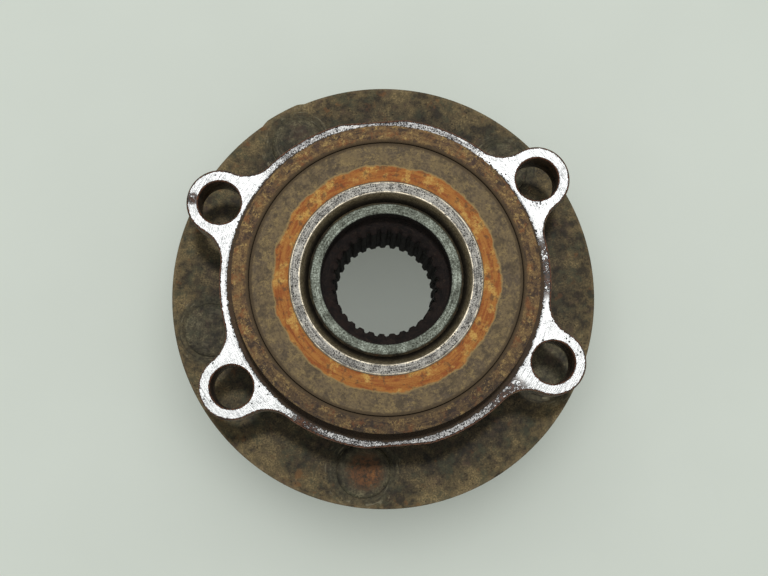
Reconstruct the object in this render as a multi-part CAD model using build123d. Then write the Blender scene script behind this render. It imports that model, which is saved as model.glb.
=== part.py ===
from build123d import *
import math
import os

# Wheel hub bearing for a driven wheel: a double-row angular-contact ball bearing whose outer ring bolts
# to the knuckle and whose hub carries the wheel. Millimetres. The origin is the centre of the wheel
# mounting face, and +Z runs along the axis from the wheel towards the knuckle and the drive shaft.

# Wheel flange of the hub
flange_diameter = 138.0
flange_thickness = 11.0
flange_edge_bevel = 0.8
flange_root_radius = 5.0

# Wheel studs, pressed into the flange from behind
stud_count = 5
stud_edge_distance = 11.85
first_stud_angle = 43.0
stud_thread_diameter = 12.0
stud_thread_pitch = 1.5
stud_thread_depth = 0.85
stud_neck_length = 2.0
stud_knurl_rise = 0.5
stud_reach = 34.0
stud_tip_drop = 1.3
stud_tip_length = 3.0
stud_head_overhang = 2.2
stud_head_height = 3.0
stud_head_bevel = 0.6
spotface_clearance = 1.2
spotface_depth = 1.5

# Spigot that centres the brake disc and the wheel, and the axle nut's recess inside it
spigot_diameter = 67.0
spigot_height = 14.0
spigot_bevel = 1.5
nut_recess_diameter = 44.0
nut_recess_depth = 27.0
recess_edge_bevel = 1.0
spline_relief_clearance = 1.0
spline_relief_depth = 2.8

# Internal spline for the drive shaft
spline_tooth_count = 31
spline_pitch_diameter = 31.0
spline_tooth_rise = 0.45
spline_space_depth = 0.5
spline_flank_angle = 30.0
spline_length = 33.7
spline_cutter_overlap = 0.5
shaft_mouth_rim_width = 2.7
shaft_mouth_bevel = 0.4
shaft_lead_in_height = 4.5

# Balls and raceways
ball_count = 14
ball_diameter = 12.0
ball_circle_diameter = 66.8
ball_running_clearance = 0.08
row_spacing = 25.0
row_inset = 13.2
outer_land_above_ball_circle = 2.6
outer_lip_above_ball_circle = 5.8
hub_shoulder_below_ball_circle = 1.4
inner_ring_shoulder_below_ball_circle = 2.4
inner_land_below_ball_circle = 5.4

# Cages of the two rows
cage_pocket_clearance = 0.2
cage_below_ball_circle = 2.5
cage_land_clearance = 0.4
cage_rim_thickness = 1.6
cage_snap_height = 1.4

# Outer ring
outer_ring_foot_gap = 1.8
outer_ring_crown = 13.8
barrel_wall = 5.9
barrel_foot_bevel = 1.2
barrel_flare_width = 2.5
barrel_flare_height = 4.0
pilot_wall = 4.9
pilot_length = 11.3
pilot_bevel = 0.4
seal_seat_step = 0.4
seal_bore_bevel = 0.3
seal_bore_floor_above_row = 5.6

# Mounting flange of the outer ring, with four ears
mount_flange_thickness = 15.0
mount_flange_overhang = 3.6
mount_flat_depth = 0.9
mount_edge_bevel = 0.5
ear_outset = 5.55
ear_angle = 30.0
ear_radius = 9.8
ear_blend_radius = 10.0
ear_hole_diameter = 12.8
ear_hole_bevel = 0.4

# Inner ring, pressed onto the spindle
inner_ring_wall = 8.5
inner_ring_crown = 14.2
inner_ring_tail = 11.5
contact_face_inset = 3.1
contact_face_step = 0.5
bore_mouth_depth = 4.7
bore_mouth_flare = 2.2
inner_ring_edge_bevel = 0.6
tail_bevel = 0.8
spindle_end_taper = 0.8
spindle_end_setback = 2.6
spindle_end_bevel_height = 1.4

# Seals
seal_case_wall = 0.7
seal_web_thickness = 0.6
seal_web_width = 5.0
seal_ball_gap = 0.4
seal_running_clearance = 0.05
lip_tip_width = 0.35
lip_root_width = 1.2
lip_root_thickness = 0.8
lip_heel_width = 1.7
inboard_radial_lip_rise = 1.9
inboard_axial_lip_reach = 2.8
outboard_radial_lip_rise = 2.8
outboard_axial_lip_reach = 3.4
case_flinger_gap = 0.9
case_floor_gap = 0.8
outboard_web_setback = 2.6
flinger_thickness = 0.6
flinger_sleeve_length = 4.8
flinger_bore_gap = 0.6
encoder_thickness = 0.9
encoder_shoulder_gap = 0.1
encoder_edge_bevel = 0.3
encoder_bore_gap = 0.4
encoder_setback = 0.6

# Heights that follow from the sizes above
flange_back = flange_thickness
outer_ring_foot = flange_back + outer_ring_foot_gap
outboard_row = outer_ring_foot + row_inset
inboard_row = outboard_row + row_spacing
outer_ring_top = inboard_row + outer_ring_crown
mount_face = outer_ring_top - pilot_length
mount_flange_back = mount_face - mount_flange_thickness
inner_ring_top = inboard_row + inner_ring_crown
inner_ring_foot = inboard_row - inner_ring_tail
spindle_end = inner_ring_top - spindle_end_setback
nut_seat = nut_recess_depth - spigot_height
spline_foot = nut_seat + spline_relief_depth
spline_top = spline_foot + spline_length
spotface_floor = flange_back - spotface_depth
encoder_top = outer_ring_top - encoder_setback
flinger_top = encoder_top - encoder_thickness
flinger_plate_foot = flinger_top - flinger_thickness
inboard_web_foot = inboard_row + ball_diameter / 2 + seal_ball_gap
outboard_web_foot = outer_ring_foot + outboard_web_setback
inboard_bore_floor = inboard_row + seal_bore_floor_above_row
outboard_bore_floor = outboard_row - seal_bore_floor_above_row
inboard_case_top = flinger_plate_foot - case_flinger_gap
outboard_case_top = outboard_bore_floor - case_floor_gap

# Radii and diameters that follow from the sizes above
ball_circle_radius = ball_circle_diameter / 2
groove_radius = ball_diameter / 2 + ball_running_clearance
outer_land_radius = ball_circle_radius + outer_land_above_ball_circle
outer_lip_radius = ball_circle_radius + outer_lip_above_ball_circle
hub_shoulder_radius = ball_circle_radius - hub_shoulder_below_ball_circle
inner_ring_shoulder_radius = ball_circle_radius - inner_ring_shoulder_below_ball_circle
inner_land_radius = ball_circle_radius - inner_land_below_ball_circle
seal_bore_radius = outer_lip_radius + seal_seat_step
flinger_sleeve_radius = inner_ring_shoulder_radius + flinger_thickness
encoder_inner_radius = inner_ring_shoulder_radius + encoder_shoulder_gap
seal_web_radius = seal_bore_radius - seal_web_width
barrel_radius = seal_bore_radius + barrel_wall
barrel_flare_radius = barrel_radius + barrel_flare_width
pilot_radius = seal_bore_radius + pilot_wall
mount_flange_radius = barrel_radius + mount_flange_overhang
mount_flat_distance = mount_flange_radius - mount_flat_depth
knuckle_bolt_circle_radius = mount_flange_radius + ear_outset
spindle_radius = inner_ring_shoulder_radius - inner_ring_wall
contact_face_inner_radius = spindle_radius + bore_mouth_flare
contact_face_outer_radius = inner_ring_shoulder_radius - contact_face_inset
spindle_end_radius = spindle_radius - spindle_end_taper
shaft_mouth_radius = spindle_end_radius - shaft_mouth_rim_width
spline_pitch_radius = spline_pitch_diameter / 2
spline_minor_radius = spline_pitch_radius - spline_tooth_rise
spline_major_radius = spline_pitch_radius + spline_space_depth
spline_relief_radius = spline_major_radius + spline_relief_clearance
stud_circle_radius = flange_diameter / 2 - stud_edge_distance
stud_thread_radius = stud_thread_diameter / 2
stud_knurl_radius = stud_thread_radius + stud_knurl_rise
stud_tip_radius = stud_thread_radius - stud_tip_drop
stud_head_radius = stud_knurl_radius + stud_head_overhang
spotface_radius = stud_head_radius + spotface_clearance


def turned(*corners):
    """A solid turned about Z from corners (radius, height), each with an optional blend radius or a
    bevel written as a negative number."""
    outline = make_face(Polyline(*[corner[:2] for corner in corners], close=True))
    for radius, height, blend in [corner for corner in corners if len(corner) > 2]:
        vertex = outline.vertices().sort_by_distance(Vector(radius, height))[0]
        outline = fillet(vertex, blend) if blend > 0 else chamfer(vertex, -blend)
    return revolve(Plane.XZ * outline, Axis.Z)


def cylinder(radius, foot, top):
    """A cylinder on the axis between two heights."""
    return Pos(0, 0, foot) * Cylinder(radius, top - foot, align=(Align.CENTER, Align.CENTER, Align.MIN))


def ball_groove(row_height):
    """The torus that both raceways of a row are ground to, one running clearance larger than its balls."""
    return Pos(0, 0, row_height) * Torus(ball_circle_radius, groove_radius)


def stud_places():
    """The places of the wheel studs about the axis."""
    return PolarLocations(stud_circle_radius, stud_count, start_angle=first_stud_angle)


def ball_places(row_height):
    """The places of one row's ball centres."""
    return Pos(0, 0, row_height) * PolarLocations(ball_circle_radius, ball_count)


def ear_centres():
    """The four knuckle bolt centres, on one circle and at one angle either side of X."""
    across = knuckle_bolt_circle_radius * math.cos(math.radians(ear_angle))
    up = knuckle_bolt_circle_radius * math.sin(math.radians(ear_angle))
    return [(side * across, end * up) for side in (-1, 1) for end in (-1, 1)]


def mounting_flange():
    """The forged plate of the outer ring: a disc with two flats and four blended ears."""
    disc = Circle(mount_flange_radius) & Rectangle(2 * mount_flange_radius, 2 * mount_flat_distance)
    flats = disc.vertices()
    contour = disc + [Pos(x, y) * Circle(ear_radius) for x, y in ear_centres()]
    roots = [v for v in contour.vertices() if min(v.distance_to(flat) for flat in flats) > mount_edge_bevel]
    contour = fillet(roots, ear_blend_radius)
    plate = Pos(0, 0, mount_flange_back) * extrude(contour, mount_flange_thickness)
    rims = plate.faces().sort_by(Axis.Z)
    plate = chamfer(rims[0].edges() + rims[-1].edges(), mount_edge_bevel)
    for x, y in ear_centres():
        hole = cylinder(ear_hole_diameter / 2, mount_flange_back, mount_face)
        mouth = Cone(ear_hole_diameter / 2, ear_hole_diameter / 2 + 2 * ear_hole_bevel, 2 * ear_hole_bevel)
        plate -= Pos(x, y) * (hole + Pos(0, 0, mount_face) * mouth)
    return plate


def outer_ring():
    """The fixed ring: barrel, mounting flange, knuckle pilot, two raceways and two seal bores."""
    body = turned(
        (seal_bore_radius, outer_ring_foot),
        (barrel_radius, outer_ring_foot, -barrel_foot_bevel),
        (barrel_radius, mount_flange_back - barrel_flare_height),
        (barrel_flare_radius, mount_flange_back),
        (barrel_flare_radius, mount_face - mount_edge_bevel),
        (pilot_radius, mount_face - mount_edge_bevel),
        (pilot_radius, outer_ring_top, -pilot_bevel),
        (seal_bore_radius, outer_ring_top, -seal_bore_bevel),
        (seal_bore_radius, inboard_bore_floor),
        (outer_lip_radius, inboard_bore_floor),
        (outer_lip_radius, inboard_row),
        (outer_land_radius, inboard_row),
        (outer_land_radius, outboard_row),
        (outer_lip_radius, outboard_row),
        (outer_lip_radius, outboard_bore_floor),
        (seal_bore_radius, outboard_bore_floor),
    )
    core = cylinder(barrel_radius, mount_flange_back, mount_face)
    return (body + (mounting_flange() - core)) - ball_groove(inboard_row) - ball_groove(outboard_row)


def spline_spaces():
    """The spaces between the teeth of the shaft spline, as one cutter."""
    pitch_width = math.pi * spline_pitch_radius / spline_tooth_count
    slope = math.tan(math.radians(spline_flank_angle))
    inner = spline_minor_radius - spline_cutter_overlap
    outer = spline_major_radius
    half_inner = pitch_width / 2 + (spline_pitch_radius - inner) * slope
    half_outer = pitch_width / 2 - (outer - spline_pitch_radius) * slope
    corners = [(inner, -half_inner), (outer, -half_outer), (outer, half_outer), (inner, half_inner)]
    space = make_face(Polyline(*corners, close=True))
    spaces = Sketch() + [turn * space for turn in PolarLocations(0, spline_tooth_count)]
    return Pos(0, 0, spline_foot) * extrude(spaces, spline_length + shaft_lead_in_height)


def hub():
    """The rotating hub: spigot, wheel flange, outboard raceway, spindle and splined bore."""
    body = turned(
        (nut_recess_diameter / 2, -spigot_height, -recess_edge_bevel),
        (spigot_diameter / 2, -spigot_height, -spigot_bevel),
        (spigot_diameter / 2, 0),
        (flange_diameter / 2, 0, -flange_edge_bevel),
        (flange_diameter / 2, flange_back, -flange_edge_bevel),
        (hub_shoulder_radius, flange_back, flange_root_radius),
        (hub_shoulder_radius, outboard_row),
        (inner_land_radius, outboard_row),
        (inner_land_radius, inner_ring_foot),
        (spindle_radius, inner_ring_foot),
        (spindle_radius, spindle_end - spindle_end_bevel_height),
        (spindle_end_radius, spindle_end),
        (shaft_mouth_radius, spindle_end, -shaft_mouth_bevel),
        (shaft_mouth_radius, spline_top + shaft_lead_in_height),
        (spline_minor_radius, spline_top),
        (spline_minor_radius, spline_foot),
        (spline_relief_radius, spline_foot),
        (spline_relief_radius, nut_seat),
        (nut_recess_diameter / 2, nut_seat),
    )
    body -= ball_groove(outboard_row)
    body -= spline_spaces()
    for place in stud_places():
        body -= place * cylinder(stud_knurl_radius, 0, flange_back)
        body -= place * cylinder(spotface_radius, spotface_floor, flange_back + flange_edge_bevel)
    return body


def thread_corners():
    """Crests and roots of the stud's thread as plain V grooves, from its tip up to its neck."""
    turns = int((stud_reach - stud_tip_length - stud_neck_length) / stud_thread_pitch)
    foot = -stud_neck_length - turns * stud_thread_pitch
    corners = [(stud_thread_radius, foot)]
    for turn in range(turns):
        root_height = foot + (turn + 1 / 2) * stud_thread_pitch
        corners.append((stud_thread_radius - stud_thread_depth, root_height))
        corners.append((stud_thread_radius, root_height + stud_thread_pitch / 2))
    return corners


def wheel_stud():
    """One wheel stud on its own axis: round head, knurled shank, threaded length and lead-in tip."""
    head_top = spotface_floor + stud_head_height
    return turned(
        (0, -stud_reach),
        (stud_tip_radius, -stud_reach),
        (stud_thread_radius, stud_tip_length - stud_reach),
        *thread_corners(),
        (stud_thread_radius, 0),
        (stud_knurl_radius, 0),
        (stud_knurl_radius, spotface_floor),
        (stud_head_radius, spotface_floor),
        (stud_head_radius, head_top, -stud_head_bevel),
        (0, head_top),
    )


def inner_ring():
    """The inboard inner ring: bore with a wide mouth, stepped end face, shoulder and raceway."""
    step_radius = contact_face_outer_radius + contact_face_step
    step_height = inner_ring_top - contact_face_step
    body = turned(
        (spindle_radius, inner_ring_foot, -tail_bevel),
        (inner_land_radius, inner_ring_foot, -tail_bevel),
        (inner_land_radius, inboard_row),
        (inner_ring_shoulder_radius, inboard_row),
        (inner_ring_shoulder_radius, step_height, -inner_ring_edge_bevel),
        (step_radius, step_height),
        (contact_face_outer_radius, inner_ring_top),
        (contact_face_inner_radius, inner_ring_top),
        (spindle_radius, inner_ring_top - bore_mouth_depth),
    )
    return body - ball_groove(inboard_row)


def row_balls(row_height):
    """One row of balls, each a whole sphere in its pocket."""
    return [place * Sphere(ball_diameter / 2) for place in ball_places(row_height)]


def cage(row_height, inward):
    """A snap-in comb cage: a rim on the side of the other row and fingers that reach past the balls."""
    rim = row_height + inward * (ball_diameter / 2 + cage_rim_thickness)
    tips = row_height - inward * cage_snap_height
    body = turned(
        (ball_circle_radius - cage_below_ball_circle, rim),
        (outer_land_radius - cage_land_clearance, rim),
        (outer_land_radius - cage_land_clearance, tips),
        (ball_circle_radius - cage_below_ball_circle, tips),
    )
    pocket = Sphere(ball_diameter / 2 + cage_pocket_clearance)
    return body - [place * pocket for place in ball_places(row_height)]


def inboard_seal_case():
    """The pressed L-section case of the inboard seal, seated in the outer ring's bore."""
    web_top = inboard_web_foot + seal_web_thickness
    return turned(
        (seal_web_radius, inboard_web_foot),
        (seal_bore_radius, inboard_web_foot, seal_case_wall),
        (seal_bore_radius, inboard_case_top),
        (seal_bore_radius - seal_case_wall, inboard_case_top),
        (seal_bore_radius - seal_case_wall, web_top),
        (seal_web_radius, web_top),
    )


def inboard_seal_lip():
    """The rubber of the inboard seal: a radial lip on the flinger's sleeve and an axial lip on its plate."""
    web_top = inboard_web_foot + seal_web_thickness
    plate = flinger_plate_foot - seal_running_clearance
    sleeve = flinger_sleeve_radius + seal_running_clearance
    axial_tip = seal_web_radius + inboard_axial_lip_reach
    radial_tip = web_top + inboard_radial_lip_rise
    return turned(
        (seal_web_radius, inboard_web_foot),
        (seal_web_radius, web_top),
        (seal_web_radius + lip_root_width, web_top),
        (axial_tip, plate - lip_tip_width),
        (axial_tip - lip_tip_width, plate),
        (seal_web_radius, web_top + lip_root_thickness),
        (seal_web_radius - lip_root_width, web_top + lip_root_thickness),
        (sleeve + lip_tip_width, radial_tip),
        (sleeve, radial_tip - lip_tip_width),
        (seal_web_radius - lip_heel_width, inboard_web_foot),
    )


def inboard_flinger():
    """The pressed flinger on the inner ring's shoulder: a sleeve and a plate that turn with the hub."""
    plate_radius = seal_bore_radius - flinger_bore_gap
    return turned(
        (inner_ring_shoulder_radius, flinger_top - flinger_sleeve_length),
        (flinger_sleeve_radius, flinger_top - flinger_sleeve_length),
        (flinger_sleeve_radius, flinger_plate_foot),
        (plate_radius, flinger_plate_foot),
        (plate_radius, flinger_top),
        (inner_ring_shoulder_radius, flinger_top),
    )


def encoder_ring():
    """The magnetised rubber ring on the flinger's outer face, read by a speed sensor on the knuckle."""
    return turned(
        (encoder_inner_radius, flinger_top),
        (seal_bore_radius - encoder_bore_gap, flinger_top),
        (seal_bore_radius - encoder_bore_gap, encoder_top, -encoder_edge_bevel),
        (encoder_inner_radius, encoder_top, -encoder_edge_bevel),
    )


def outboard_seal_case():
    """The pressed L-section case of the outboard seal, seated in the outer ring's foot."""
    web_top = outboard_web_foot + seal_web_thickness
    return turned(
        (seal_web_radius, outboard_web_foot),
        (seal_bore_radius, outboard_web_foot, seal_case_wall),
        (seal_bore_radius, outboard_case_top),
        (seal_bore_radius - seal_case_wall, outboard_case_top),
        (seal_bore_radius - seal_case_wall, web_top),
        (seal_web_radius, web_top),
    )


def outboard_seal_lip():
    """The rubber of the outboard seal: a radial lip on the hub's shoulder and an axial lip on its flange."""
    web_top = outboard_web_foot + seal_web_thickness
    lip_foot = outboard_web_foot - lip_root_thickness
    land = hub_shoulder_radius + seal_running_clearance
    face = flange_back + seal_running_clearance
    axial_tip = seal_web_radius + outboard_axial_lip_reach
    radial_tip = web_top + outboard_radial_lip_rise
    return turned(
        (seal_web_radius, outboard_web_foot),
        (seal_web_radius, web_top),
        (seal_web_radius - lip_root_width, radial_tip - lip_root_thickness),
        (land + lip_tip_width, radial_tip),
        (land, radial_tip - lip_tip_width),
        (seal_web_radius - lip_heel_width, web_top),
        (seal_web_radius - lip_root_thickness, lip_foot),
        (seal_web_radius + lip_root_width, lip_foot),
        (axial_tip, face),
        (axial_tip + lip_tip_width, face + lip_tip_width),
        (seal_web_radius + 2 * lip_root_width, outboard_web_foot),
    )


def named_pieces():
    """Every piece of the bearing by its node name."""
    pieces = {
        "outer_ring": outer_ring(),
        "inboard_seal_case": inboard_seal_case(),
        "inboard_seal_lip": inboard_seal_lip(),
        "outboard_seal_case": outboard_seal_case(),
        "outboard_seal_lip": outboard_seal_lip(),
        "hub": hub(),
        "inner_ring": inner_ring(),
        "inboard_flinger": inboard_flinger(),
        "encoder_ring": encoder_ring(),
        "outboard_cage": cage(outboard_row, 1),
        "inboard_cage": cage(inboard_row, -1),
    }
    for number, place in enumerate(stud_places(), 1):
        pieces[f"wheel_stud_{number}"] = place * wheel_stud()
    for row, height in (("outboard", outboard_row), ("inboard", inboard_row)):
        for number, ball in enumerate(row_balls(height), 1):
            pieces[f"{row}_ball_{number:02d}"] = ball
    return pieces


os.makedirs("parts", exist_ok=True)
for name, piece in named_pieces().items():
    export_step(piece, f"parts/{name}.step")
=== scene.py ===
"""Looks of a used wheel hub bearing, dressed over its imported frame.

Sizes of pieces are in millimetres and are turned into metres when a mesh is made. Every piece lies in
the frame's own axes: the origin is the centre of the wheel mounting face and +Z points to the knuckle.
"""

import logging
import math
from collections.abc import Callable, Sequence
from dataclasses import dataclass, field
from enum import Enum

import bmesh
import bpy
from mathutils import Matrix, Vector, noise


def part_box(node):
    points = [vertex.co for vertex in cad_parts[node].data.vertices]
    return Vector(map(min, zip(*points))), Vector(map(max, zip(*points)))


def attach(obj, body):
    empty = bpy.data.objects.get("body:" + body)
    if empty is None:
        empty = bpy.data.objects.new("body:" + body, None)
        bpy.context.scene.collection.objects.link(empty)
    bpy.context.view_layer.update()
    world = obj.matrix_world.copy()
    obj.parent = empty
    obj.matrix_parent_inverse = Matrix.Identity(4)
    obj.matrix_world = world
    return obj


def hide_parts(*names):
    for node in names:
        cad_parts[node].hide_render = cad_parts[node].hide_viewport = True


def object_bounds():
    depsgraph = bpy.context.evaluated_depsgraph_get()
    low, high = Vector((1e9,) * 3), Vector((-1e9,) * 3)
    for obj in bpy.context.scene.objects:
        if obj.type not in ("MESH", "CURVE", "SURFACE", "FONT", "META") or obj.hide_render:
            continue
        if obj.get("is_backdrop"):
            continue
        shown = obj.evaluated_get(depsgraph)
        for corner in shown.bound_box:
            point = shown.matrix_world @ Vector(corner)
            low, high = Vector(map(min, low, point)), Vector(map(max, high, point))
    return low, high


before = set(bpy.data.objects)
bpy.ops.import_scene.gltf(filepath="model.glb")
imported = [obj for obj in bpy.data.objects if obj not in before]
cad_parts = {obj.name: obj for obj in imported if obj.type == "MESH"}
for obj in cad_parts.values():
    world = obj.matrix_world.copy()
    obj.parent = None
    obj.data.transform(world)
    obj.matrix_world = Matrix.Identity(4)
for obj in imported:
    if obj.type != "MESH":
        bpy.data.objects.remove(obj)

MM = 0.001
FULL_TURN = 2 * math.pi
EDGE_WEAR = "edge_wear"
BLEND_STEPS = 4
BLEND_SHARE = 0.4
LEAST_BLEND = 0.01
LEAST_HALVED = 0.6
GROOVE_STEPS = 14
OUTLINE_SPACING = 1.0
WELD_DISTANCE = 1e-7
ON_AXIS = 0.01
VECTOR_SCALE_INPUT = 3
NOISE_SHIFT_INPUT = 1
MIX_TINT_INPUTS = (6, 7)
MIX_TINT_OUTPUT = 2
MIX_LEVEL_INPUTS = (2, 3)
log = logging.getLogger("hub_bearing")

Point = tuple[float, float, float]
Flat = tuple[float, float]
Colour = tuple[int, int, int]
Shape = Callable[[float, float, float], float]


# ---------------------------------------------------------------- mesh making


def polar(radius: float, angle: float) -> Flat:
    """The flat point at a radius and an angle in radians."""
    return radius * math.cos(angle), radius * math.sin(angle)


def added(name: str, data: bpy.types.ID) -> bpy.types.Object:
    """Makes an object and adds it to the scene.

    Args:
        name: the object's name.
        data: its mesh, lamp or camera.

    Returns:
        The object.
    """
    made = bpy.data.objects.new(name, data)
    bpy.context.scene.collection.objects.link(made)
    return made


def soften(mesh: bpy.types.Mesh, sharp_degrees: float) -> None:
    """Shades a mesh smooth, except at edges that turn more than some degrees."""
    mesh.shade_smooth()
    mesh.set_sharp_from_angle(angle=math.radians(sharp_degrees))


@dataclass(frozen=True)
class Corner:
    """A corner of a turned profile: its radius, its height and the blend that rounds it."""

    radius: float
    height: float
    blend: float = 0.3


def rounded(corners: Sequence[Corner], spacing: float = 2.0) -> list[Flat]:
    """Rounds a closed profile and divides its long runs.

    Args:
        corners: the profile's corners in order.
        spacing: the longest run left undivided.

    Returns:
        The profile's points as (radius, height).
    """
    sharp = [Vector((corner.radius, corner.height)) for corner in corners]
    points: list[Vector] = []
    for index, (corner, here) in enumerate(zip(corners, sharp)):
        before, after = sharp[index - 1] - here, sharp[(index + 1) % len(sharp)] - here
        reach = min(corner.blend, before.length * BLEND_SHARE, after.length * BLEND_SHARE)
        if reach < LEAST_BLEND:
            points.append(here)
            continue
        start, end = here + before.normalized() * reach, here + after.normalized() * reach
        for step in range(BLEND_STEPS + 1):
            t = step / BLEND_STEPS
            points.append(start * (1 - t) ** 2 + here * 2 * t * (1 - t) + end * t * t)
    divided: list[Flat] = []
    for index, point in enumerate(points):
        run = points[(index + 1) % len(points)] - point
        parts = max(1, math.ceil(run.length / spacing))
        if run.length > LEAST_HALVED and parts == 1:
            parts = 2
        divided.append((point.x, point.y))
        for part in range(1, parts):
            share = part / parts
            divided.append((point.x + run.x * share, point.y + run.y * share))
    return divided


@dataclass
class Draft:
    """Vertices and faces of a piece while it is made, in millimetres."""

    verts: list[Point] = field(default_factory=list)
    faces: list[tuple[int, ...]] = field(default_factory=list)
    wear: list[float] = field(default_factory=list)

    def loop(self, points: Sequence[Point], wear: float = 0.0) -> list[int]:
        """Adds a run of vertices.

        Args:
            points: where they lie, in millimetres.
            wear: their share of edge wear.

        Returns:
            The vertices' numbers.
        """
        first = len(self.verts)
        self.verts.extend(points)
        self.wear.extend([wear] * len(points))
        return list(range(first, first + len(points)))

    def skin(self, loops: Sequence[Sequence[int]], closed: bool = False) -> None:
        """Joins each loop to the next with quads.

        Args:
            loops: vertex numbers, equally many in each loop.
            closed: whether the last loop joins the first.
        """
        for lower, upper in zip(loops, [*loops[1:], *(loops[:1] if closed else [])]):
            for index, corner in enumerate(lower):
                after = (index + 1) % len(lower)
                self.faces.append((corner, lower[after], upper[after], upper[index]))

    def turn(
        self,
        profile: Sequence[Flat],
        segments: int,
        shape: Shape | None = None,
        centre: Flat = (0.0, 0.0),
        closed: bool = True,
        wear: float = 0.0,
    ) -> list[list[int]]:
        """Turns a profile about a vertical axis.

        Args:
            profile: the points as (radius, height).
            segments: the number of points round each loop.
            shape: gives the radius from an angle, a radius and a height, where the piece isn't round.
            centre: where the axis stands.
            closed: whether the profile's last point joins its first.
            wear: the share of edge wear on its vertices.

        Returns:
            The loops' vertex numbers, one list for each profile point.
        """
        loops = []
        for radius, height in profile:
            ring = []
            for step in range(segments):
                angle = FULL_TURN * step / segments
                x, y = polar(shape(angle, radius, height) if shape else radius, angle)
                ring.append((centre[0] + x, centre[1] + y, height))
            loops.append(self.loop(ring, wear))
        self.skin(loops, closed)
        return loops

    def fill(self, loops: Sequence[Sequence[int]], height: float) -> None:
        """Fills the flat face between an outer loop and the holes in it.

        Args:
            loops: the outer loop and then each hole's loop.
            height: the height of the face.
        """
        work = bmesh.new()
        numbers = []
        edges = []
        for loop in loops:
            corners = [work.verts.new((*self.verts[i][:2], height)) for i in loop]
            numbers.extend(loop)
            edges.extend(work.edges.new((a, b)) for a, b in zip(corners, corners[1:] + corners[:1]))
        work.verts.index_update()
        filled = bmesh.ops.triangle_fill(work, use_beauty=True, edges=edges)
        for made in filled["geom"]:
            if isinstance(made, bmesh.types.BMFace):
                self.faces.append(tuple(numbers[vert.index] for vert in made.verts))
        work.free()

    def piece(self, name: str, sharp_degrees: float = 40.0) -> bpy.types.Object:
        """Makes the object.

        Args:
            name: the object's name.
            sharp_degrees: edges that turn more than this stay sharp.

        Returns:
            The new object, in metres, with outward faces and smooth shading.
        """
        mesh = bpy.data.meshes.new(name)
        mesh.from_pydata([(x * MM, y * MM, z * MM) for x, y, z in self.verts], [], self.faces)
        mesh.attributes.new(EDGE_WEAR, "FLOAT", "POINT").data.foreach_set("value", self.wear)
        work = bmesh.new()
        work.from_mesh(mesh)
        bmesh.ops.remove_doubles(work, verts=work.verts, dist=WELD_DISTANCE)
        bmesh.ops.recalc_face_normals(work, faces=work.faces)
        work.to_mesh(mesh)
        work.free()
        soften(mesh, sharp_degrees)
        return added(name, mesh)


def roughen(
    piece: bpy.types.Object, depth: float, grain: float, seed: int, keep: Callable[[Vector], bool]
) -> None:
    """Sinks a forged or corroded surface unevenly, always inwards.

    Args:
        piece: the object whose mesh is changed.
        depth: the deepest hollow, in millimetres.
        grain: the width of the hollows, in millimetres.
        seed: shifts the pattern.
        keep: tells whether a point in millimetres is roughened.
    """
    normals = [vertex.normal.copy() for vertex in piece.data.vertices]
    for vertex, normal in zip(piece.data.vertices, normals):
        point = vertex.co / MM
        if keep(point):
            wave = noise.fractal(point / grain + Vector((seed, 0, 0)), 1.0, 2.0, 3)
            vertex.co -= normal * depth * MM * min(1.0, max(0.0, 0.5 + wave))
    piece.data.update()


# ---------------------------------------------------------------- finishes


def linear(colour: Colour) -> tuple[float, float, float, float]:
    """Turns a display colour from 0 to 255 into linear light, by the standard display curve.

    Args:
        colour: red, green and blue.

    Returns:
        The four parts of a socket's colour.
    """
    parts = [value / 255 for value in colour]
    light = [p / 12.92 if p <= 0.04045 else ((p + 0.055) / 1.055) ** 2.4 for p in parts]
    return (light[0], light[1], light[2], 1.0)


Socket = bpy.types.NodeSocket


class Scalar:
    """A number that varies over a finish and takes plain arithmetic. A mask is one from 0 to 1."""

    def __init__(self, graph: "Graph", socket: Socket) -> None:
        """Wraps a socket of a finish's nodes."""
        self.graph, self.socket = graph, socket

    def __add__(self, other: "Value") -> "Scalar":
        """The sum."""
        return self.graph.math("ADD", self, other)

    def __sub__(self, other: "Value") -> "Scalar":
        """The difference."""
        return self.graph.math("SUBTRACT", self, other)

    def __mul__(self, other: "Value") -> "Scalar":
        """The product, which for masks is where both hold."""
        return self.graph.math("MULTIPLY", self, other)

    def __truediv__(self, other: "Value") -> "Scalar":
        """The quotient."""
        return self.graph.math("DIVIDE", self, other)

    def __or__(self, other: "Value") -> "Scalar":
        """The larger, which for masks is where either holds."""
        return self.graph.math("MAXIMUM", self, other)

    def step(self, low: float, high: float) -> "Scalar":
        """Makes a soft step, down where low is the larger.

        Args:
            low: the value up to which the step is 0.
            high: the value from which it is 1.

        Returns:
            The step, as a mask.
        """
        first, last = (0.0, 1.0) if low <= high else (1.0, 0.0)
        ends = {"From Min": min(low, high), "From Max": max(low, high), "To Min": first, "To Max": last}
        node = self.graph.node("ShaderNodeMapRange", {"Value": self, **ends})
        node.interpolation_type = "SMOOTHSTEP"
        return Scalar(self.graph, node.outputs[0])

    def band(self, low: float, high: float, soft: float) -> "Scalar":
        """1 between two values, falling to 0 over a soft edge."""
        return self.step(low - soft / 2, low + soft / 2) * self.step(high + soft / 2, high - soft / 2)


Value = float | Scalar
Tint = Colour | Socket


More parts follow.
